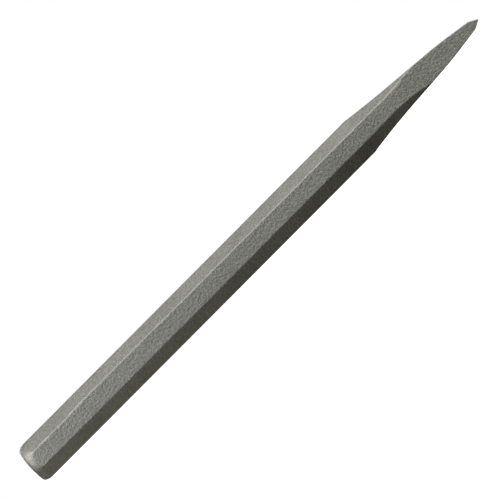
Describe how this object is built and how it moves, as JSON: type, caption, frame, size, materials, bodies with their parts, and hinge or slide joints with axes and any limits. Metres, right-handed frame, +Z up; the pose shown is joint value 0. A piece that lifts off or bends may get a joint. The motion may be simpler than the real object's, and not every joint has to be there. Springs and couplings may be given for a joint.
{
  "type": "cold chisel",
  "caption": "Cold chisel forged from octagonal tool steel bar, with a crowned and chamfered striking head and a flat wedge blade ground to a double-bevelled cutting edge.",
  "frame": {"origin": "midway along the length, under the bar's axis, on the surface that the chisel lies on", "axes": "+X along the bar from the struck head to the cutting edge, +Y along the cutting edge, +Z up through the blade's thickness"},
  "size_m": [0.29, 0.024, 0.02],
  "materials": {
    "blasted_steel": "forged and shot-blasted, matt warm grey, with a fine grain"
  },
  "bodies": {
    "root": {"chisel": "blasted_steel"}
  },
  "joints": []
}
